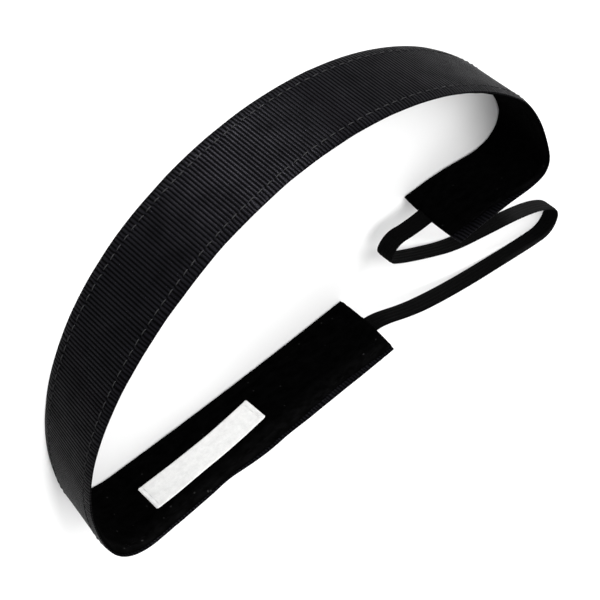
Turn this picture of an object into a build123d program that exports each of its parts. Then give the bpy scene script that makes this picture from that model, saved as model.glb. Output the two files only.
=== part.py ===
from build123d import *
from math import cos, radians, sin, tan
import os

# Sports headband: a grosgrain ribbon lined with velvet, closed by a narrow flat elastic.
# The band stands on its lower edge, with +Z across the ribbon's width. The origin is at
# the middle of the footprint of the sewn band, on the surface that it stands on. All
# lengths are millimetres and all angles are degrees.

# ---- Driving dimensions ----

RIBBON_WIDTH = 25.4
GROSGRAIN_THICKNESS = 0.5
VELVET_THICKNESS = 1.2
VELVET_LOW_EDGE = 0.6
VELVET_HIGH_EDGE = 24.2
ELASTIC_WIDTH = 6.0
ELASTIC_THICKNESS = 0.8
LABEL_HEIGHT = 8.8
LABEL_THICKNESS = 0.25
EDGE_SEAM_INSET = 3.0
STITCH_LENGTH = 1.9
STITCH_SHARE = 0.66
STITCH_WIDTH = 0.45
STITCH_HEIGHT = 0.2
STITCH_CLEARANCE = 0.02
TRIM = 0.4
LABEL_END_EXIT_RUN = 2.5
PLAIN_END_EXIT_RUN = 6.2

# ---- The band's plan ----

# The line followed is the lower edge of the joint between grosgrain and velvet, from the
# label end round to the plain end. Each stretch is (length, turn), left turns positive.
START = (-6.7, 47.3)
START_HEADING = -22
STRETCHES = [
    (90, -5),
    (12, -80),
    (90, -70),
    (154, -98),
    (20, -124),
    (28, 18),
]
EASE = 12.0
BAND_LENGTH = sum(length for length, turn in STRETCHES)

# How far the ribbon leans outward from the vertical, as (distance, degrees).
LEANS = [
    (0, -5),
    (60, -5),
    (125, 9),
    (190, -3),
    (310, 0),
    (350, -12),
    (394, -5),
]

# One facet of the ribbon holds one stitch of each edge seam.
FACETS = 136
FACET_LENGTH = BAND_LENGTH / FACETS
STEPS_PER_FACET = 4

# ---- Places along and across the band ----

TAIL_FACETS = 5
LABEL_END_TAIL_HEIGHT = 13.6
PLAIN_END_TAIL_HEIGHT = 10.4
END_SEAM_FACET = 1
FIRST_LABEL_FACET = 15
LAST_LABEL_FACET = 28
LABEL_MIDDLE = 13.1
END_STITCH_COUNT = 6
END_STITCH_PITCH = 2.9
LABEL_STITCH_COUNT = 3
LABEL_STITCH_PITCH = 2.6


def sharp_heading(distance):
    """Heading at a distance along the band, before its bends are eased into each other."""
    heading = START_HEADING
    for length, turn in STRETCHES:
        heading += turn * min(max(distance / length, 0), 1)
        distance -= length
    return heading


def heading_at(distance):
    """Heading at a distance along the band, averaged over the easing length."""
    samples = [sharp_heading(distance + EASE * (i / 12 - 0.5)) for i in range(13)]
    return sum(samples) / len(samples)


def lean_at(distance):
    """Outward lean at a distance along the band, smooth between the listed values."""
    for (low, low_lean), (high, high_lean) in zip(LEANS, LEANS[1:]):
        if distance <= high:
            break
    share = min(max((distance - low) / (high - low), 0), 1)
    return low_lean + (high_lean - low_lean) * share * share * (3 - 2 * share)


def band_stations():
    """Lower-edge point, heading and lean at each facet boundary."""
    step = FACET_LENGTH / STEPS_PER_FACET
    x, y = START
    stations = []
    for i in range(FACETS * STEPS_PER_FACET + 1):
        distance = i * step
        if i % STEPS_PER_FACET == 0:
            stations.append((Vector(x, y, 0), heading_at(distance), lean_at(distance)))
        middle = radians(heading_at(distance + step / 2))
        x += step * cos(middle)
        y += step * sin(middle)
    return stations


STATIONS = band_stations()


def along_band(station):
    """Level unit vector along the band at a station."""
    heading = radians(STATIONS[station][1])
    return Vector(cos(heading), sin(heading), 0)


def section_plane(station):
    """Upright plane square to the band: X outward, Y up, origin on the lower edge."""
    along = along_band(station)
    return Plane(origin=STATIONS[station][0], x_dir=(-along.Y, along.X, 0), z_dir=along)


def section_point(station, outward, height):
    """Section coordinates of a point at a height across the ribbon and an outward offset."""
    lean = radians(STATIONS[station][2])
    return (outward + height * sin(lean), height * cos(lean))


def surface_point(station, outward, height):
    """Point in space on the ribbon's section."""
    across, up = section_point(station, outward, height)
    return section_plane(station).from_local_coords(Vector(across, up, 0))


def strip_sections(first, last, inner, outer, low, high):
    """Sections of a layer between two stations, two outward offsets and two heights."""
    sections = []
    for station in range(first, last + 1):
        with BuildSketch(section_plane(station)) as section:
            with BuildLine():
                Polyline(
                    section_point(station, inner, low),
                    section_point(station, outer, low),
                    section_point(station, outer, high),
                    section_point(station, inner, high),
                    close=True,
                )
            make_face()
        sections.append(section.sketch)
    return sections


def stitch(facet, outward, height, side, across=False):
    """Plane and length of one stitch on a facet: Z away from the ribbon, X along the stitch."""
    start = surface_point(facet, outward, height)
    end = surface_point(facet + 1, outward, height)
    along = end - start
    up = surface_point(facet, outward, height + 1) - start
    normal = up.cross(along).normalized() * side
    origin = (start + end) * 0.5 + normal * STITCH_CLEARANCE
    if across:
        return Plane(origin=origin, x_dir=up, z_dir=normal), STITCH_LENGTH
    return Plane(origin=origin, x_dir=along, z_dir=normal), STITCH_SHARE * along.length


def spread(middle, count, pitch):
    """Evenly spaced places about a middle."""
    return [middle + (i - (count - 1) / 2) * pitch for i in range(count)]


OUTER_FACE = GROSGRAIN_THICKNESS
INNER_FACE = -VELVET_THICKNESS
LABEL_FACE = INNER_FACE - LABEL_THICKNESS
OUTWARD = 1
INWARD = -1

# ---- Ribbons ----

# The lower edge is trimmed by the ground plane, so the band stands on one flat rim.
with BuildPart() as grosgrain_ribbon:
    loft(strip_sections(0, FACETS, 0, OUTER_FACE, -TRIM, RIBBON_WIDTH), ruled=True)
    split(bisect_by=Plane.XY, keep=Keep.TOP)
grosgrain_ribbon.part.label = "grosgrain_ribbon"

TAILS = {
    "label_end": (0, TAIL_FACETS, LABEL_END_TAIL_HEIGHT),
    "plain_end": (FACETS - TAIL_FACETS, FACETS, PLAIN_END_TAIL_HEIGHT),
}


def tail_sections(end):
    """Sections of a sewn-in tail, which lies in the velvet's back against the grosgrain."""
    first, last, height = TAILS[end]
    low = height - ELASTIC_WIDTH / 2
    high = height + ELASTIC_WIDTH / 2
    return strip_sections(first, last, -ELASTIC_THICKNESS, 0, low, high)


with BuildPart() as velvet_lining:
    loft(strip_sections(0, FACETS, INNER_FACE, 0, VELVET_LOW_EDGE, VELVET_HIGH_EDGE), ruled=True)
    loft(tail_sections("label_end"), ruled=True, mode=Mode.SUBTRACT)
    loft(tail_sections("plain_end"), ruled=True, mode=Mode.SUBTRACT)
velvet_lining.part.label = "velvet_lining"

# The label lies on the velvet, on the same facets, so the two meet face to face.
with BuildPart() as woven_label:
    label_low = LABEL_MIDDLE - LABEL_HEIGHT / 2
    label_high = LABEL_MIDDLE + LABEL_HEIGHT / 2
    label_stations = (FIRST_LABEL_FACET, LAST_LABEL_FACET + 1)
    loft(strip_sections(*label_stations, LABEL_FACE, INNER_FACE, label_low, label_high), ruled=True)
woven_label.part.label = "woven_label"

# ---- Elastic ----

with BuildPart() as elastic_tail_label_end:
    loft(tail_sections("label_end"), ruled=True)
elastic_tail_label_end.part.label = "elastic_tail_label_end"

with BuildPart() as elastic_tail_plain_end:
    loft(tail_sections("plain_end"), ruled=True)
elastic_tail_plain_end.part.label = "elastic_tail_plain_end"

# The free elastic leaves each end straight, comes down to the ground on its edge and
# doubles back on itself twice. Its width stays upright all the way.
LABEL_END_EXIT = surface_point(0, -ELASTIC_THICKNESS / 2, LABEL_END_TAIL_HEIGHT)
PLAIN_END_EXIT = surface_point(FACETS, -ELASTIC_THICKNESS / 2, PLAIN_END_TAIL_HEIGHT)
ELASTIC_ROUTE = [
    LABEL_END_EXIT,
    LABEL_END_EXIT - along_band(0) * LABEL_END_EXIT_RUN,
    Vector(-17.6, 60.5, 11.8),
    Vector(-26.2, 74.3, 8.4),
    Vector(-37.3, 88.3, 5.4),
    Vector(-50.1, 100.5, 3.5),
    Vector(-60.7, 108.5, 3.1),
    Vector(-68.7, 113.1, 3.1),
    Vector(-75.7, 107.5, 3.1),
    Vector(-71.5, 98.5, 3.1),
    Vector(-63.7, 89.9, 3.1),
    Vector(-51.5, 79.7, 3.1),
    Vector(-41.3, 70.1, 3.6),
    Vector(-33.6, 57.3, 5.2),
    Vector(-26.7, 43.9, 7.2),
    Vector(-23.3, 35.4, 8.5),
    Vector(-29.3, 31.6, 9.3),
    PLAIN_END_EXIT + along_band(FACETS) * PLAIN_END_EXIT_RUN,
    PLAIN_END_EXIT,
]


def corner_radius(before, corner, after):
    """Largest easy radius at a corner of the route."""
    arriving = corner - before
    leaving = after - corner
    half_turn = radians(arriving.get_angle(leaving) / 2)
    return 0.45 * min(arriving.length, leaving.length) / tan(half_turn)


corners = zip(ELASTIC_ROUTE, ELASTIC_ROUTE[1:], ELASTIC_ROUTE[2:])
ELASTIC_RADII = [corner_radius(*corner) for corner in corners]
print("elastic corner radii:", [round(radius, 1) for radius in ELASTIC_RADII])

with BuildPart() as elastic_strap:
    with BuildLine():
        elastic_path = FilletPolyline(*ELASTIC_ROUTE, radius=ELASTIC_RADII)
    along_exit = elastic_path % 0
    across_exit = Vector(0, 0, 1).cross(along_exit)
    with BuildSketch(Plane(origin=LABEL_END_EXIT, x_dir=across_exit, z_dir=along_exit)):
        Rectangle(ELASTIC_THICKNESS, ELASTIC_WIDTH)
    sweep(path=elastic_path)
elastic_strap.part.label = "elastic_strap"
elastic_length = elastic_path.length
elastic_share = elastic_strap.part.volume / (ELASTIC_THICKNESS * ELASTIC_WIDTH * elastic_length)
print(f"elastic length {elastic_length:.1f}, volume / (section x length) {elastic_share:.3f}")

# ---- Thread ----

EDGE_SEAM_FACETS = range(2, FACETS - 2)


def edge_seam(outward, side, height):
    """Stitches along one edge seam."""
    return [stitch(facet, outward, height, side) for facet in EDGE_SEAM_FACETS]


def end_seam(facet, outward, side):
    """Stitches across the ribbon on one facet."""
    heights = spread(RIBBON_WIDTH / 2, END_STITCH_COUNT, END_STITCH_PITCH)
    return [stitch(facet, outward, height, side, across=True) for height in heights]


def label_seam():
    """Stitches across both short ends of the label."""
    heights = spread(LABEL_MIDDLE, LABEL_STITCH_COUNT, LABEL_STITCH_PITCH)
    ends = (FIRST_LABEL_FACET, LAST_LABEL_FACET)
    return [stitch(facet, LABEL_FACE, height, INWARD, across=True) for facet in ends for height in heights]


BOTTOM_SEAM = EDGE_SEAM_INSET
TOP_SEAM = RIBBON_WIDTH - EDGE_SEAM_INSET
LABEL_END_FACET = END_SEAM_FACET
PLAIN_END_FACET = FACETS - 1 - END_SEAM_FACET
SEAMS = {
    "top_seam_needle_thread": edge_seam(OUTER_FACE, OUTWARD, TOP_SEAM),
    "top_seam_bobbin_thread": edge_seam(INNER_FACE, INWARD, TOP_SEAM),
    "bottom_seam_needle_thread": edge_seam(OUTER_FACE, OUTWARD, BOTTOM_SEAM),
    "bottom_seam_bobbin_thread": edge_seam(INNER_FACE, INWARD, BOTTOM_SEAM),
    "label_end_needle_thread": end_seam(LABEL_END_FACET, OUTER_FACE, OUTWARD),
    "label_end_bobbin_thread": end_seam(LABEL_END_FACET, INNER_FACE, INWARD),
    "plain_end_needle_thread": end_seam(PLAIN_END_FACET, OUTER_FACE, OUTWARD),
    "plain_end_bobbin_thread": end_seam(PLAIN_END_FACET, INNER_FACE, INWARD),
    "label_thread": label_seam(),
}

threads = []
for name, seam in SEAMS.items():
    with BuildPart() as thread:
        for plane, length in seam:
            with BuildSketch(plane):
                Rectangle(length, STITCH_WIDTH)
        extrude(amount=STITCH_HEIGHT)
    thread.part.label = name
    threads.append(thread)

# ---- Export ----

os.makedirs("parts", exist_ok=True)
pieces = [
    grosgrain_ribbon,
    velvet_lining,
    woven_label,
    elastic_tail_label_end,
    elastic_tail_plain_end,
    elastic_strap,
    *threads,
]
for piece in pieces:
    export_step(piece.part, f"parts/{piece.part.label}.step")

band = Compound([piece.part for piece in pieces if piece is not elastic_strap]).bounding_box()
print("band footprint centre:", round(band.center().X, 2), round(band.center().Y, 2), "size:", band.size)
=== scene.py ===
import random
from math import cos, pi, radians, sin

import bpy
import numpy as np
from mathutils import Matrix, Vector


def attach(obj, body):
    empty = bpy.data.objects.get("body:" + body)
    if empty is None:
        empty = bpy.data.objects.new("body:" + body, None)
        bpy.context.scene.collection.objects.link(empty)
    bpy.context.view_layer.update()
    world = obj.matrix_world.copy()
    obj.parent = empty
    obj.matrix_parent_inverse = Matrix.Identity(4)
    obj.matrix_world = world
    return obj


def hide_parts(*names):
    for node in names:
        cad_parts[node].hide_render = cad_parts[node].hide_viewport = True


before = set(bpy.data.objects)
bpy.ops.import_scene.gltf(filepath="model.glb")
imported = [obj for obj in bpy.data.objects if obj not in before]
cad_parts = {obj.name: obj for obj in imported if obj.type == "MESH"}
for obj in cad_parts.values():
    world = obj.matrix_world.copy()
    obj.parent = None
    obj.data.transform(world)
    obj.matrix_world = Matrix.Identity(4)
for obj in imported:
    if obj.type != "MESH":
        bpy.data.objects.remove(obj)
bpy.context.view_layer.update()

MM = 0.001
rng = random.Random(7)

# ---- Driving dimensions, in millimetres and degrees, the same as the CAD model's ----

RIBBON_WIDTH = 25.4
GROSGRAIN_THICKNESS = 0.5
VELVET_THICKNESS = 1.2
VELVET_LOW_EDGE = 0.6
ELASTIC_WIDTH = 6.0
ELASTIC_THICKNESS = 0.8
LABEL_HEIGHT = 8.8
LABEL_THICKNESS = 0.25
EDGE_SEAM_INSET = 3.0

START = (-6.7, 47.3)
START_HEADING = -22
STRETCHES = [
    (90, -5),
    (12, -80),
    (90, -70),
    (154, -98),
    (20, -124),
    (28, 18),
]
EASE = 12.0
BAND_LENGTH = sum(length for length, turn in STRETCHES)
LEANS = [
    (0, -5),
    (60, -5),
    (125, 9),
    (190, -3),
    (310, 0),
    (350, -12),
    (394, -5),
]
FACET_LENGTH = BAND_LENGTH / 136

TAIL_LENGTH = 5 * FACET_LENGTH
LABEL_END_TAIL_HEIGHT = 13.6
PLAIN_END_TAIL_HEIGHT = 10.4
LABEL_START = 42.8
LABEL_END = 82.8
LABEL_MIDDLE = 13.1
LABEL_SLANT = 0.85
LABEL_BOW = 0.9
END_SEAM_INSET = 1.5 * FACET_LENGTH
LABEL_END_EXIT_RUN = 2.5
PLAIN_END_EXIT_RUN = 6.2

# ---- The band's plan ----


def smooth(x):
    """Smoothstep of x, held between 0 and 1."""
    x = np.clip(x, 0, 1)
    return x * x * (3 - 2 * x)


def sharp_heading(distance):
    """Heading in degrees along the band, before its bends are eased into each other."""
    heading = np.full_like(distance, START_HEADING)
    passed = 0
    for length, turn in STRETCHES:
        heading += turn * np.clip((distance - passed) / length, 0, 1)
        passed += length
    return heading


def heading_at(distance):
    """Heading in radians along the band, averaged over the easing length."""
    offsets = [EASE * (i / 12 - 0.5) for i in range(13)]
    return np.radians(np.mean([sharp_heading(distance + offset) for offset in offsets], axis=0))


def between(distance, values):
    """Smooth interpolation of a short list of (distance, value)."""
    result = np.full_like(distance, float(values[0][1]))
    for (low, low_value), (high, high_value) in zip(values, values[1:]):
        result += (high_value - low_value) * smooth((distance - low) / (high - low))
    return result


PLAN_STEP = FACET_LENGTH / 16
plan_distance = np.arange(0, 136 * 16 + 1) * PLAN_STEP
middle_heading = heading_at(plan_distance[:-1] + PLAN_STEP / 2)
plan_x = START[0] + np.concatenate([[0], np.cumsum(PLAN_STEP * np.cos(middle_heading))])
plan_y = START[1] + np.concatenate([[0], np.cumsum(PLAN_STEP * np.sin(middle_heading))])
plan_heading = heading_at(plan_distance)
plan_lean = np.radians(between(plan_distance, LEANS))


END_SHAPE_REACH = 26.0
LABEL_END_SKEW = 2.0
PLAIN_END_SKEW = 2.2


def with_end_shape(distance, height):
    """Distance along the band once each end edge is drawn to its slightly slanted, bowed shape."""
    share = np.clip(height / RIBBON_WIDTH, 0, 1)
    bow = 0.5 * (1 - (2 * share - 1) ** 2)
    near_label_end = np.clip(1 - distance / END_SHAPE_REACH, 0, 1) ** 2
    near_plain_end = np.clip(1 - (BAND_LENGTH - distance) / END_SHAPE_REACH, 0, 1) ** 2
    shifted = distance + near_label_end * (LABEL_END_SKEW * share - bow)
    return shifted + near_plain_end * (PLAIN_END_SKEW * share + bow - 0.4)


def band_points(distance, outward, height):
    """Points in metres at distances along the band, outward offsets and heights across it."""
    distance = with_end_shape(distance, height)
    beyond = distance - np.clip(distance, 0, BAND_LENGTH)
    x = np.interp(distance, plan_distance, plan_x)
    y = np.interp(distance, plan_distance, plan_y)
    heading = np.interp(distance, plan_distance, plan_heading)
    lean = np.interp(distance, plan_distance, plan_lean)
    across = outward + height * np.sin(lean)
    x = x + beyond * np.cos(heading) - np.sin(heading) * across
    y = y + beyond * np.sin(heading) + np.cos(heading) * across
    points = [x, y, height * np.cos(lean)]
    return np.stack(points, axis=-1) * MM


def along_band(distance):
    """Level unit vector along the band."""
    heading = np.interp(distance, plan_distance, plan_heading)
    return np.array([cos(heading), sin(heading), 0.0])


# ---- Camera ----

CAMERA_PLACE = (0.0005, -0.3475, 0.2365)
CAMERA_DROP = 32.1
CAMERA_ROLL = 129.5
CAMERA_LENS = 94.2

camera_data = bpy.data.cameras.new("camera")
camera_data.lens = CAMERA_LENS
camera_data.sensor_width = 36
camera_data.clip_start = 0.01
camera = bpy.data.objects.new("camera", camera_data)
bpy.context.scene.collection.objects.link(camera)
level_look = Matrix.Rotation(radians(90 - CAMERA_DROP), 4, "X")
camera_roll = Matrix.Rotation(radians(CAMERA_ROLL), 4, "Z")
camera.matrix_world = Matrix.Translation(CAMERA_PLACE) @ level_look @ camera_roll
bpy.context.scene.camera = camera

# ---- Mesh helpers ----


def new_object(name, vertices, faces, material, uvs=None, smooth_shading=True):
    """A mesh object at the origin, with its own lay coordinates where they are given."""
    mesh = bpy.data.meshes.new(name)
    mesh.from_pydata([tuple(v) for v in vertices], [], faces)
    mesh.materials.append(material)
    if uvs is not None:
        layer = mesh.uv_layers.new(name="lay")
        corner_vertices = np.empty(len(mesh.loops), dtype=np.int64)
        mesh.loops.foreach_get("vertex_index", corner_vertices)
        layer.data.foreach_set("uv", np.asarray(uvs)[corner_vertices].ravel())
    mesh.polygons.foreach_set("use_smooth", [smooth_shading] * len(mesh.polygons))
    mesh.update()
    thing = bpy.data.objects.new(name, mesh)
    bpy.context.scene.collection.objects.link(thing)
    return thing


def tube_faces(rows, columns):
    """Quads of a closed loop of points repeated along rows, with both ends closed by quads.

    The first half of a loop runs up one face and the second half runs down the other."""
    i, j = np.meshgrid(np.arange(rows - 1), np.arange(columns), indexing="ij")
    k = (j + 1) % columns
    quads = [i * columns + j, i * columns + k, (i + 1) * columns + k, (i + 1) * columns + j]
    faces = np.stack(quads, axis=-1).reshape(-1, 4).tolist()
    for row, flip in ((0, True), (rows - 1, False)):
        base = row * columns
        for a in range(columns // 2 - 1):
            quad = [base + a, base + a + 1, base + columns - 2 - a, base + columns - 1 - a]
            faces.append(quad[::-1] if flip else quad)
    return faces


def band_shell(name, distance, outer, inner, heights_outer, heights_inner, material, shift=0):
    """Closed layer of the band from grids of outward offsets and heights on its two faces.

    The lay coordinates can be shifted along the band where the weave itself is drawn aside."""
    outward = np.concatenate([outer, inner[:, ::-1]], axis=1)
    heights = np.concatenate([heights_outer, heights_inner[:, ::-1]], axis=1)
    along = np.repeat(distance[:, None], outward.shape[1], axis=1)
    points = band_points(along, outward, heights)
    uvs = np.stack([(along + shift) / 100, heights / 100], axis=-1).reshape(-1, 2)
    faces = tube_faces(*outward.shape)
    return new_object(name, points.reshape(-1, 3), faces, material, uvs)


def wobble(distance, height, seed, pitch):
    """Smooth random unevenness between -1 and 1, a sum of a few seeded waves."""
    waves = random.Random(seed)
    total = 0
    for _ in range(5):
        scale = pitch * waves.uniform(0.6, 1.8)
        slant = waves.uniform(-0.6, 0.6)
        total = total + np.sin((distance + slant * height) * 2 * pi / scale + waves.uniform(0, 2 * pi))
    return total / 5


# ---- Material helpers ----


def shader(name, color, roughness, **sockets):
    """Principled material with plain values on its own sockets."""
    material = bpy.data.materials.new(name)
    material.use_nodes = True
    principled = material.node_tree.nodes["Principled BSDF"]
    principled.inputs["Base Color"].default_value = (*color, 1)
    principled.inputs["Roughness"].default_value = roughness
    for socket, value in sockets.items():
        principled.inputs[socket.replace("_", " ")].default_value = value
    return material, principled


class Nodes:
    """Short ways to add and join nodes in one material."""

    def __init__(self, material):
        self.tree = material.node_tree

    def add(self, kind, **settings):
        node = self.tree.nodes.new("ShaderNode" + kind)
        for key, value in settings.items():
            setattr(node, key, value)
        return node

    def join(self, source, target):
        self.tree.links.new(source, target)

    def lay(self):
        """Place along and across the cloth, in tenths of a metre, and both together."""
        uv = self.add("UVMap", uv_map="lay")
        split = self.add("SeparateXYZ")
        self.join(uv.outputs[0], split.inputs[0])
        return split.outputs[0], split.outputs[1], uv.outputs[0]

    def math(self, operation, a, b=0.0, c=0.0):
        node = self.add("Math", operation=operation)
        for socket, value in zip(node.inputs, (a, b, c)):
            if isinstance(value, (int, float)):
                socket.default_value = value
            else:
                self.join(value, socket)
        return node.outputs[0]

    def wave(self, coordinate, pitch_mm):
        """A wave from 0 to 1 with the given pitch."""
        turned = self.math("MULTIPLY", coordinate, 2 * pi * 100 / pitch_mm)
        return self.math("MULTIPLY_ADD", self.math("SINE", turned), 0.5, 0.5)

    def noise(self, vector, scale, detail=3.0, roughness=0.6, stretch=None):
        if stretch is not None:
            mapping = self.add("Mapping")
            mapping.inputs["Scale"].default_value = stretch
            self.join(vector, mapping.inputs[0])
            vector = mapping.outputs[0]
        node = self.add("TexNoise")
        node.inputs["Scale"].default_value = scale
        node.inputs["Detail"].default_value = detail
        node.inputs["Roughness"].default_value = roughness
        self.join(vector, node.inputs["Vector"])
        return node.outputs["Fac"]

    def ramp(self, factor, stops):
        """Colour ramp from (place, colour) stops."""
        node = self.add("ValToRGB")
        while len(node.color_ramp.elements) < len(stops):
            node.color_ramp.elements.new(0.5)
        for element, (place, color) in zip(node.color_ramp.elements, stops):
            element.position = place
            element.color = (*color, 1)
        self.join(factor, node.inputs[0])
        return node.outputs[0]

    def bump(self, height, distance_mm, strength=1.0, normal=None):
        node = self.add("Bump")
        node.inputs["Strength"].default_value = strength
        node.inputs["Distance"].default_value = distance_mm * MM
        self.join(height, node.inputs["Height"])
        if normal is not None:
            self.join(normal, node.inputs["Normal"])
        return node.outputs[0]


def grey(value, tint=1.0):
    """A near-grey colour, a little blue where tint is over 1."""
    return (value, value, value * tint)


def grosgrain_material():
    material, principled = shader("grosgrain", grey(0.002), 0.5, Specular_Tint=(0.90, 0.86, 1.0, 1.0))
    nodes = Nodes(material)
    along, across, both = nodes.lay()
    fibres = nodes.noise(both, 900, detail=2, stretch=(1.0, 0.25, 1.0))
    # Random patches that raise and lower the crests' painted sheen in the base colour, and their specular
    # level: a painted, uneven reflection along the band.
    patches = nodes.noise(both, 14, detail=2)
    rib_turn = nodes.math("MULTIPLY", along, pi * 100 / RIB_PITCH)
    crest = nodes.math("POWER", nodes.math("ABSOLUTE", nodes.math("SINE", rib_turn)), 2.2)
    sheen_patches = nodes.math("MULTIPLY_ADD", patches, 1.5, 0.25)
    lit_fibres = nodes.math("MULTIPLY_ADD", fibres, 0.5, 0.75)
    shine = nodes.math("MULTIPLY", lit_fibres, nodes.math("MULTIPLY", crest, sheen_patches))
    # Base colour from the crest mask: the rib valleys are painted darker as painted shade, and the crests
    # lighter as a painted sheen. The same mask also sets the specular level.
    nodes.join(nodes.ramp(shine, GROSGRAIN_VALLEY_SHADE_TO_CREST_SHEEN_COLORS), principled.inputs["Base Color"])
    nodes.join(nodes.math("MULTIPLY_ADD", shine, *GROSGRAIN_SHINE), principled.inputs["Specular IOR Level"])
    nodes.join(nodes.math("MULTIPLY_ADD", fibres, 0.12, 0.27), principled.inputs["Roughness"])
    weave = nodes.bump(nodes.wave(across, 0.28), 0.04, 1.0)
    nodes.join(nodes.bump(fibres, 0.02, 0.15, weave), principled.inputs["Normal"])
    return material


def velvet_material():
    material, principled = shader(
        "velvet", grey(0.001), 0.95, Specular_IOR_Level=0.002, Sheen_Weight=0.0015, Sheen_Roughness=0.4
    )
    nodes = Nodes(material)
    along, across, both = nodes.lay()
    pile = nodes.noise(both, 1400, detail=3)
    marks = nodes.noise(both, 26, detail=3, stretch=(1.0, 2.0, 1.0))
    lint = nodes.add("TexVoronoi", feature="F1")
    lint.inputs["Scale"].default_value = 30
    nodes.join(both, lint.inputs["Vector"])
    speck = nodes.math("LESS_THAN", lint.outputs["Distance"], 0.08)
    base = nodes.ramp(marks, [(0.35, grey(0.0003)), (0.7, grey(0.0012, 1.05))])
    mix = nodes.add("Mix", data_type="RGBA")
    nodes.join(speck, mix.inputs["Factor"])
    nodes.join(base, mix.inputs[6])
    mix.inputs[7].default_value = (*grey(0.009), 1)
    nodes.join(mix.outputs[2], principled.inputs["Base Color"])
    nodes.join(nodes.bump(pile, 0.12, 0.9), principled.inputs["Normal"])
    return material


def elastic_material():
    material, principled = shader("elastic", grey(0.01), 0.6, Specular_IOR_Level=0.006)
    nodes = Nodes(material)
    along, across, both = nodes.lay()
    slant_up = nodes.wave(nodes.math("MULTIPLY_ADD", across, 1.2, along), 0.55)
    slant_down = nodes.wave(nodes.math("MULTIPLY_ADD", across, -1.2, along), 0.55)
    weave = nodes.math("MULTIPLY", slant_up, slant_down)
    fibres = nodes.noise(both, 800, detail=2, stretch=(0.3, 1.0, 1.0))
    shade = nodes.math("MULTIPLY_ADD", weave, 0.6, nodes.math("MULTIPLY", fibres, 0.4))
    color = nodes.ramp(shade, [(0.15, grey(0.0008)), (0.75, grey(0.0050, 1.03))])
    nodes.join(color, principled.inputs["Base Color"])
    nodes.join(nodes.bump(weave, 0.08, 0.8), principled.inputs["Normal"])
    return material


def label_material():
    material, principled = shader("label", grey(0.86), 0.55, Specular_IOR_Level=0.4)
    nodes = Nodes(material)
    along, across, both = nodes.lay()
    weft = nodes.wave(across, 0.22)
    warp = nodes.wave(nodes.math("MULTIPLY_ADD", across, 2.5, along), 0.45)
    satin = nodes.math("MULTIPLY", weft, warp)
    cloud = nodes.noise(both, 60, detail=2)
    shade = nodes.math("MULTIPLY_ADD", satin, 0.35, nodes.math("MULTIPLY", cloud, 0.65))
    color = nodes.ramp(shade, [(0.2, grey(0.66, 0.99)), (0.65, grey(0.84, 0.99))])
    nodes.join(color, principled.inputs["Base Color"])
    nodes.join(nodes.bump(satin, 0.04, 0.7), principled.inputs["Normal"])
    return material


def thread_material(name, dark, light, shine):
    material, principled = shader(name, light, 0.5, Specular_IOR_Level=shine)
    nodes = Nodes(material)
    along, across, both = nodes.lay()
    ply = nodes.wave(nodes.math("MULTIPLY_ADD", across, 1.0, along), 0.35)
    color = nodes.ramp(ply, [(0.1, dark), (0.8, light)])
    nodes.join(color, principled.inputs["Base Color"])
    nodes.join(nodes.bump(ply, 0.05, 0.8), principled.inputs["Normal"])
    return material


RIB_PITCH = 1.03
# Grosgrain base colours from rib valley to rib crest: the dark end is painted shade in the valleys, and the
# light end is a painted sheen on the crests.
GROSGRAIN_VALLEY_SHADE_TO_CREST_SHEEN_COLORS = [(0.1, grey(0.0003, 1.1)), (0.9, grey(0.0012, 1.3))]
GROSGRAIN_SHINE = (0.024, 0.0004)

GROSGRAIN = grosgrain_material()
VELVET = velvet_material()
ELASTIC = elastic_material()
LABEL = label_material()
BLACK_THREAD = thread_material("black_thread", grey(0.002), grey(0.008, 1.06), 0.05)
# The bobbin stitches are the same black thread as the needle stitches. They get a darker, duller copy of its
# colour as painted shade where they sink into the velvet pile.
PILE_SHADED_THREAD = thread_material("pile_shaded_thread", grey(0.0005), grey(0.0015, 1.05), 0.004)
WHITE_THREAD = thread_material("white_thread", grey(0.6), grey(0.85), 0.3)

# ---- Elastic ----

# Where the elastic leaves each end of the band: level, and straight along the ribbon.
label_end_exit = band_points(0.0, -ELASTIC_THICKNESS / 2, LABEL_END_TAIL_HEIGHT)
plain_end_exit = band_points(BAND_LENGTH, -ELASTIC_THICKNESS / 2, PLAIN_END_TAIL_HEIGHT)
ELASTIC_ROUTE = [
    (-17.6, 60.5, 11.8),
    (-26.2, 74.3, 8.4),
    (-37.3, 88.3, 5.4),
    (-50.1, 100.5, 3.5),
    (-60.7, 108.5, 3.1),
    (-68.7, 113.1, 3.1),
    (-75.7, 107.5, 3.1),
    (-71.5, 98.5, 3.1),
    (-63.7, 89.9, 3.1),
    (-51.5, 79.7, 3.1),
    (-41.3, 70.1, 3.6),
    (-33.6, 57.3, 5.2),
    (-26.7, 43.9, 7.2),
    (-23.3, 35.4, 8.5),
    (-29.3, 31.6, 9.3),
]
route = [
    label_end_exit,
    label_end_exit - along_band(0.0) * LABEL_END_EXIT_RUN * MM,
    *[np.array(point) * MM for point in ELASTIC_ROUTE],
    plain_end_exit + along_band(BAND_LENGTH) * PLAIN_END_EXIT_RUN * MM,
    plain_end_exit,
]


def spline_points(points):
    """Points read along the smooth line that a route's control points make."""
    data = bpy.data.curves.new("elastic_line", "CURVE")
    data.dimensions = "3D"
    spline = data.splines.new("NURBS")
    spline.points.add(len(points) - 1)
    for control, point in zip(spline.points, points):
        control.co = (*point, 1)
    spline.order_u = 3
    spline.use_endpoint_u = True
    spline.resolution_u = 40
    line = bpy.data.objects.new("elastic_line", data)
    mesh = bpy.data.meshes.new_from_object(line)
    read = np.array([vertex.co[:] for vertex in mesh.vertices])
    bpy.data.objects.remove(line)
    bpy.data.meshes.remove(mesh)
    return read


elastic_path = spline_points(route)
CORDS_ACROSS = 5
FACE_POINTS = CORDS_ACROSS * 6 + 1


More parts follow.
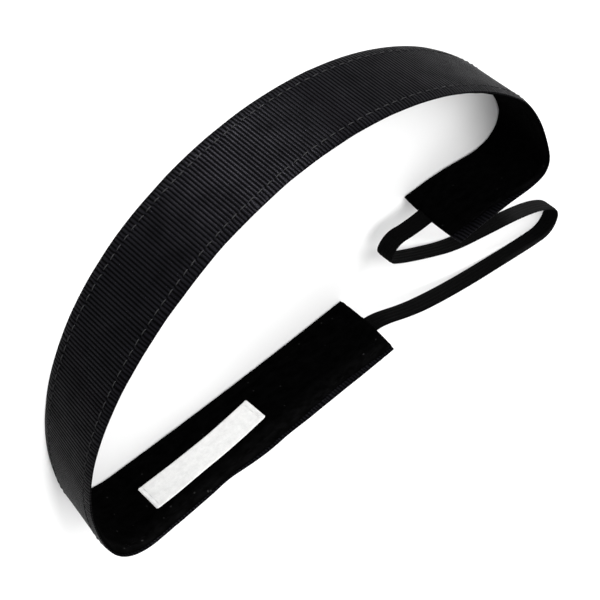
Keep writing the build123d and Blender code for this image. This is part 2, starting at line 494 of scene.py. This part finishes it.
def strap_profile():
    """Cross-section in millimetres: (thickness, width) points round a flat strap with woven cords."""
    across = np.linspace(-1, 1, FACE_POINTS)
    cords = np.abs(np.sin(across * pi * CORDS_ACROSS / 2)) ** 0.7
    body = (1 - np.abs(across) ** 6) ** 0.5
    half = (ELASTIC_THICKNESS / 2 - 0.16) * body + 0.16 * cords * body
    up = list(zip(half, across * ELASTIC_WIDTH / 2))
    down = list(zip(-half[::-1], across[::-1] * ELASTIC_WIDTH / 2))
    return up + down


def strap(name, path, material):
    """Flat strap along a path, its width as upright as the path allows."""
    profile = np.array(strap_profile()) * MM
    tangents = np.gradient(path, axis=0)
    tangents /= np.linalg.norm(tangents, axis=1)[:, None]
    upright = np.array([0, 0, 1.0]) - tangents * tangents[:, 2:3]
    upright /= np.linalg.norm(upright, axis=1)[:, None]
    sideways = np.cross(upright, tangents)
    run = np.concatenate([[0], np.cumsum(np.linalg.norm(np.diff(path, axis=0), axis=1))])
    points = (
        path[:, None, :]
        + sideways[:, None, :] * profile[None, :, 0:1]
        + upright[:, None, :] * profile[None, :, 1:2]
    )
    across = np.repeat(profile[None, :, 1], len(path), axis=0)
    uvs = np.stack([np.repeat(run[:, None], len(profile), axis=1) * 10, across * 10], axis=-1)
    faces = tube_faces(len(path), len(profile))
    return new_object(name, points.reshape(-1, 3), faces, material, uvs.reshape(-1, 2))


elastic = strap("elastic_cord", elastic_path, ELASTIC)
elastic_run = float(np.linalg.norm(np.diff(elastic_path, axis=0), axis=1).sum())
print(f"elastic length {elastic_run:.4f}")
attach(elastic, "root")
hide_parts("elastic_strap")


def elastic_tail(end, first, height):
    """Sewn-in end of the elastic, lying along the grosgrain behind the velvet."""
    distances = np.linspace(first, first + TAIL_LENGTH, 24)
    line = np.array([band_points(distance, -ELASTIC_THICKNESS / 2, height) for distance in distances])
    tail = strap(f"elastic_tail_cloth_{end}", line, ELASTIC)
    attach(tail, "root")
    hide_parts(f"elastic_tail_{end}")


elastic_tail("label_end", 0.0, LABEL_END_TAIL_HEIGHT)
elastic_tail("plain_end", BAND_LENGTH - TAIL_LENGTH, PLAIN_END_TAIL_HEIGHT)

# ---- Grosgrain ribbon ----

RIB_HEIGHT = 0.09

# One small wave in the top edge: a rise and a hollow beside it.
EDGE_RISE_PLACE = 50
EDGE_HOLLOW_PLACE = 63
EDGE_WAVE_HEIGHT = 0.4

SAMPLES_PER_RIB = 8
across_samples = np.array(
    [0.02, 0.18, 0.5, 0.9, 1.4, 2.0, 2.5, 2.8, 3.0, 3.2, 3.6, 4.4, 6.0, 8.5, 11.0]
)
RIBBON_HEIGHTS = np.concatenate([across_samples, [12.7], (RIBBON_WIDTH - across_samples)[::-1]])


def edge_fall(height, reach, depth):
    """How far a face falls off towards both edges of the ribbon."""
    inside = np.minimum(height, RIBBON_WIDTH - height)
    return depth * np.clip(1 - inside / reach, 0, 1) ** 2


def seam_dip(distance, height, depth):
    """Dimple along both edge seams, deepest at each needle hole."""
    holes = 0.7 + 0.3 * np.cos(2 * pi * distance / FACET_LENGTH)
    low = np.exp(-(((height - EDGE_SEAM_INSET) / 0.55) ** 2))
    high = np.exp(-(((RIBBON_WIDTH - EDGE_SEAM_INSET - height) / 0.55) ** 2))
    return depth * holes * (low + high)


def end_dip(distance, depth):
    """Groove along the seam across each end, and the roll-over at the end itself."""
    from_end = np.minimum(distance, BAND_LENGTH - distance)
    groove = np.exp(-(((from_end - END_SEAM_INSET) / 0.6) ** 2))
    roll = np.clip(1 - from_end / 0.8, 0, 1) ** 2
    return depth * (groove + 1.2 * roll)


def rib_shift(distance, height):
    """How far the ribs are drawn along the band in the margins outside the edge seams."""
    inside = np.minimum(height, RIBBON_WIDTH - height)
    margin = smooth((EDGE_SEAM_INSET + 0.3 - inside) / 0.6)
    return margin * (0.25 + 0.30 * wobble(distance, 0, 41, 2.9) * smooth((3.6 - inside) / 2.0))


def grosgrain_ribbon():
    distance = np.linspace(0, BAND_LENGTH, int(BAND_LENGTH / RIB_PITCH * SAMPLES_PER_RIB) + 1)
    heights = np.repeat(RIBBON_HEIGHTS[None, :], len(distance), axis=0)
    along = np.repeat(distance[:, None], heights.shape[1], axis=1)
    inside = np.minimum(heights, RIBBON_WIDTH - heights)
    shift = rib_shift(along, heights)
    phase = ((along + shift) / RIB_PITCH) % 1
    rib = np.sin(pi * phase) - 0.64
    rib *= RIB_HEIGHT * smooth((inside - 0.1) / 0.9)
    outer = GROSGRAIN_THICKNESS + rib
    outer -= edge_fall(heights, 3.4, 0.42) + seam_dip(along, heights, 0.14) + end_dip(along, 0.12)
    outer += 0.05 * wobble(along, heights, 3, 24)
    inner = np.full_like(outer, 0.0) - edge_fall(heights, 3.4, 0.30)
    waved = heights + 0.10 * wobble(along, 0 * heights, 5, 17) * (heights / RIBBON_WIDTH - 0.5) * 2
    upper = smooth(heights / RIBBON_WIDTH)
    rise = np.exp(-(((along - EDGE_RISE_PLACE) / 6) ** 2))
    hollow = np.exp(-(((along - EDGE_HOLLOW_PLACE) / 5) ** 2))
    waved += upper * EDGE_WAVE_HEIGHT * (rise - hollow)
    waved = np.clip(waved, 0.02, None)
    both_faces = np.concatenate([shift, shift[:, ::-1]], axis=1)
    piece = band_shell("grosgrain_cloth", distance, outer, inner, waved, waved, GROSGRAIN, both_faces)
    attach(piece, "root")
    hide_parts("grosgrain_ribbon")
    return piece


# ---- Velvet lining ----

# How far the velvet's upper edge stops short of the grosgrain's, as (distance, gap).
UPPER_GAPS = [
    (0, 1.0),
    (20, 2.2),
    (50, 0.8),
    (368, 0.8),
    (382, 3.0),
    (394, 4.0),
]
VELVET_COLUMNS = 49


def tail_bulge(distance, height):
    """1 where a sewn-in elastic tail lies under the velvet, falling to 0 round it."""
    total = np.zeros_like(height)
    from_label_end = (distance, LABEL_END_TAIL_HEIGHT)
    from_plain_end = (BAND_LENGTH - distance, PLAIN_END_TAIL_HEIGHT)
    for from_end, middle in (from_label_end, from_plain_end):
        lengthwise = smooth((TAIL_LENGTH + 2.5 - from_end) / 3.0)
        crosswise = smooth((ELASTIC_WIDTH / 2 + 1.0 - np.abs(height - middle)) / 1.0)
        total += lengthwise * crosswise
    return total


def velvet_lining():
    distance = np.linspace(0, BAND_LENGTH, 900)
    top = RIBBON_WIDTH - between(distance, UPPER_GAPS) + 0.12 * wobble(distance, 0, 11, 9)
    bottom = VELVET_LOW_EDGE + 0.08 * wobble(distance, 0, 12, 8)
    share = (1 - np.cos(np.linspace(0, pi, VELVET_COLUMNS))) / 2
    share = 0.5 * share + 0.5 * np.linspace(0, 1, VELVET_COLUMNS)
    heights = bottom[:, None] + (top - bottom)[:, None] * share[None, :]
    along = np.repeat(distance[:, None], VELVET_COLUMNS, axis=1)
    inside = np.minimum(heights - bottom[:, None], top[:, None] - heights)
    edge = 0.75 * np.clip(1 - inside / 0.9, 0, 1) ** 2.5
    bulge = tail_bulge(along, heights)
    depth = VELVET_THICKNESS - edge - seam_dip(along, heights, 0.22) - end_dip(along, 0.3)
    depth += 0.35 * bulge + 0.10 * wobble(along, heights, 21, 15) + 0.05 * wobble(along, heights, 22, 4)
    back = np.where(bulge > 0.5, -ELASTIC_THICKNESS - 0.03, 0.0)
    back = back - np.where(bulge > 0.5, 0, edge_fall(heights, 3.4, 0.30))
    face = -np.maximum(depth, 0.25 - back)
    piece = band_shell("velvet_cloth", distance, back, face, heights, heights, VELVET)
    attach(piece, "root")
    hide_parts("velvet_lining")
    return piece


# ---- Label ----


def label_middle(distance):
    """Height of the label's middle line, which runs a little askew and bowed along the band."""
    side = 2 * (distance - LABEL_START) / (LABEL_END - LABEL_START) - 1
    return LABEL_MIDDLE + LABEL_SLANT * side + LABEL_BOW * (1 - side ** 2)


def woven_label():
    distance = np.linspace(LABEL_START, LABEL_END, 160)
    share = np.linspace(0, 1, 33)
    along = np.repeat(distance[:, None], len(share), axis=1)
    from_end = np.minimum(along - LABEL_START, LABEL_END - along)
    rounding = 0.28 * np.clip(1 - from_end / 0.5, 0, 1) ** 2
    half = LABEL_HEIGHT / 2 - rounding + 0.10 * wobble(along, 0, 33, 26)
    heights = label_middle(along) + half * (2 * share - 1)
    from_side = np.minimum(share, 1 - share)[None, :] * LABEL_HEIGHT
    rim = np.clip(1 - np.minimum(from_side, from_end) / 0.35, 0, 1) ** 2
    lift = 0.16 + 0.12 * wobble(along, heights, 31, 20) - 0.10 * seam_pull(from_end)
    face = -(VELVET_THICKNESS + LABEL_THICKNESS + lift) + 0.10 * rim
    back = face + LABEL_THICKNESS - 0.12 * rim
    piece = band_shell("label_cloth", distance, back, face, heights, heights, LABEL)
    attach(piece, "root")
    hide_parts("woven_label")
    return piece


def seam_pull(from_end):
    """1 along the stitches near the label's ends, where the thread draws it down."""
    return np.exp(-(((from_end - LABEL_SEAM_INSET) / 0.6) ** 2))


LABEL_SEAM_INSET = 1.4
LABEL_STITCH_PITCH = 2.6

# ---- Thread ----

STITCH_SHARE = 0.66
STITCH_LENGTH = 1.9
THREAD_WIDTH = 0.34


def stitch_mesh(start, end, normal, sink):
    """A short plump run of thread that dives into the cloth at both ends."""
    length = np.linalg.norm(end - start)
    along = (end - start) / length
    sideways = np.cross(normal, along)
    rings, sides = 9, 8
    vertices = []
    uvs = []
    for r in range(rings):
        t = r / (rings - 1)
        arch = sin(pi * t)
        radius = THREAD_WIDTH / 2 * MM * (0.55 + 0.45 * arch ** 0.5)
        centre = start + along * length * t + normal * (arch ** 0.6 * 0.16 - sink) * MM
        for k in range(sides):
            angle = 2 * pi * k / sides
            flat = 0.75 * sin(angle)
            vertices.append(centre + sideways * radius * cos(angle) + normal * radius * flat)
            uvs.append((t * length * 10, k / sides * 0.01))
    faces = []
    for r in range(rings - 1):
        for k in range(sides):
            a = r * sides + k
            b = r * sides + (k + 1) % sides
            faces.append((a, b, b + sides, a + sides))
    faces.append(tuple(range(sides))[::-1])
    faces.append(tuple((rings - 1) * sides + k for k in range(sides)))
    return vertices, uvs, faces


def thread_piece(name, node, material, stitches):
    """One object of many stitches, each (start, end, normal, sink)."""
    vertices, uvs, faces = [], [], []
    for stitch in stitches:
        more, more_uvs, more_faces = stitch_mesh(*stitch)
        base = len(vertices)
        vertices += more
        uvs += more_uvs
        faces += [tuple(base + v for v in face) for face in more_faces]
    piece = new_object(name, vertices, faces, material, uvs)
    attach(piece, "root")
    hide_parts(node)
    return piece


def place_stitch(distance, height, outward, side, half, across, sink):
    """One stitch at a place on a face, along the band or across it."""
    jitter = rng.uniform(-0.12, 0.12)
    skew = rng.uniform(-0.10, 0.10)
    if across:
        start = band_points(distance - skew, outward, height - half + jitter)
        end = band_points(distance + skew, outward, height + half + jitter)
    else:
        start = band_points(distance - half + jitter, outward, height - skew)
        end = band_points(distance + half + jitter, outward, height + skew)
    heading = np.interp(distance, plan_distance, plan_heading)
    normal = np.array([-sin(heading), cos(heading), 0.0]) * side
    return start, end, normal, sink


def edge_seam(outward, side, height, sink):
    """Stitches along one edge seam, shorter where the cloth is squeezed inside a bend."""
    stitches = []
    for facet in range(2, 134):
        low = band_points(facet * FACET_LENGTH, outward, height)
        high = band_points((facet + 1) * FACET_LENGTH, outward, height)
        squeeze = min(1.0, np.linalg.norm(high - low) / MM / FACET_LENGTH)
        half = STITCH_SHARE * FACET_LENGTH / 2 * squeeze ** 0.5
        stitches.append(place_stitch((facet + 0.5) * FACET_LENGTH, height, outward, side, half, False, sink))
    return stitches


def end_seam(distance, outward, side, sink):
    """Stitches across the ribbon."""
    stitches = []
    for i in range(6):
        height = RIBBON_WIDTH / 2 + (i - 2.5) * 2.9
        stitches.append(place_stitch(distance, height, outward, side, STITCH_LENGTH / 2, True, sink))
    return stitches


def label_seam():
    stitches = []
    for distance in (LABEL_START + LABEL_SEAM_INSET, LABEL_END - LABEL_SEAM_INSET):
        for i in range(3):
            height = label_middle(distance) + (i - 1) * LABEL_STITCH_PITCH
            outward = -(VELVET_THICKNESS + LABEL_THICKNESS + 0.06)
            stitches.append(place_stitch(distance, height, outward, -1, STITCH_LENGTH / 2, True, 0.08))
    return stitches


grosgrain_ribbon()
velvet_lining()
woven_label()

BOTTOM_SEAM = EDGE_SEAM_INSET
TOP_SEAM = RIBBON_WIDTH - EDGE_SEAM_INSET
OUTER_SEAM_FACE = GROSGRAIN_THICKNESS - 0.06
INNER_SEAM_FACE = -VELVET_THICKNESS + 0.2
LABEL_END_SEAM = END_SEAM_INSET
PLAIN_END_SEAM = BAND_LENGTH - END_SEAM_INSET
seams = {
    "top_seam_needle": edge_seam(OUTER_SEAM_FACE, 1, TOP_SEAM, 0.05),
    "top_seam_bobbin": edge_seam(INNER_SEAM_FACE, -1, TOP_SEAM, 0.10),
    "bottom_seam_needle": edge_seam(OUTER_SEAM_FACE, 1, BOTTOM_SEAM, 0.05),
    "bottom_seam_bobbin": edge_seam(INNER_SEAM_FACE, -1, BOTTOM_SEAM, 0.10),
    "label_end_needle": end_seam(LABEL_END_SEAM, OUTER_SEAM_FACE, 1, 0.05),
    "label_end_bobbin": end_seam(LABEL_END_SEAM, INNER_SEAM_FACE, -1, 0.10),
    "plain_end_needle": end_seam(PLAIN_END_SEAM, OUTER_SEAM_FACE, 1, 0.05),
    "plain_end_bobbin": end_seam(PLAIN_END_SEAM, INNER_SEAM_FACE, -1, 0.10),
}
for name, stitches in seams.items():
    # Bobbin stitches take the darker copy of the black thread: painted shade in the pile.
    finish = PILE_SHADED_THREAD if name.endswith("bobbin") else BLACK_THREAD
    thread_piece(f"{name}_stitches", f"{name}_thread", finish, stitches)
thread_piece("label_stitches", "label_thread", WHITE_THREAD, label_seam())

# ---- Floor and light ----


def floor():
    mesh = bpy.data.meshes.new("floor")
    half = 3.0
    corners = [(-half, -half, 0), (half, -half, 0), (half, half, 0), (-half, half, 0)]
    mesh.from_pydata(corners, [], [(0, 1, 2, 3)])
    material, principled = shader("floor", grey(0.82), 0.8, Specular_IOR_Level=0.1)
    mesh.materials.append(material)
    thing = bpy.data.objects.new("floor", mesh)
    bpy.context.scene.collection.objects.link(thing)


def area_light(name, place, target, size, power):
    data = bpy.data.lights.new(name, "AREA")
    data.shape = "RECTANGLE"
    data.size, data.size_y = size
    data.energy = power
    lamp = bpy.data.objects.new(name, data)
    bpy.context.scene.collection.objects.link(lamp)
    lamp.location = place
    lamp.rotation_euler = (Vector(target) - Vector(place)).to_track_quat("-Z", "Y").to_euler()


floor()
area_light("key", (-0.42, -0.72, 0.05), (0, 0, 0.012), (0.16, 0.09), 40)
area_light("rim", (0.75, 0.05, 0.25), (0.06, 0, 0.012), (0.30, 0.30), 2.5)
area_light("back", (-0.75, 0.15, 0.20), (-0.06, 0, 0.012), (0.30, 0.30), 2)
area_light("top", (-0.30, -0.65, 0.95), (0.02, 0.02, 0), (0.9, 0.9), 14)
world = bpy.data.worlds.new("studio")
world.use_nodes = True
world.node_tree.nodes["Background"].inputs[0].default_value = (1, 1, 1, 1)
world.node_tree.nodes["Background"].inputs[1].default_value = 0.8
bpy.context.scene.world = world
bpy.context.scene.view_settings.view_transform = "Standard"
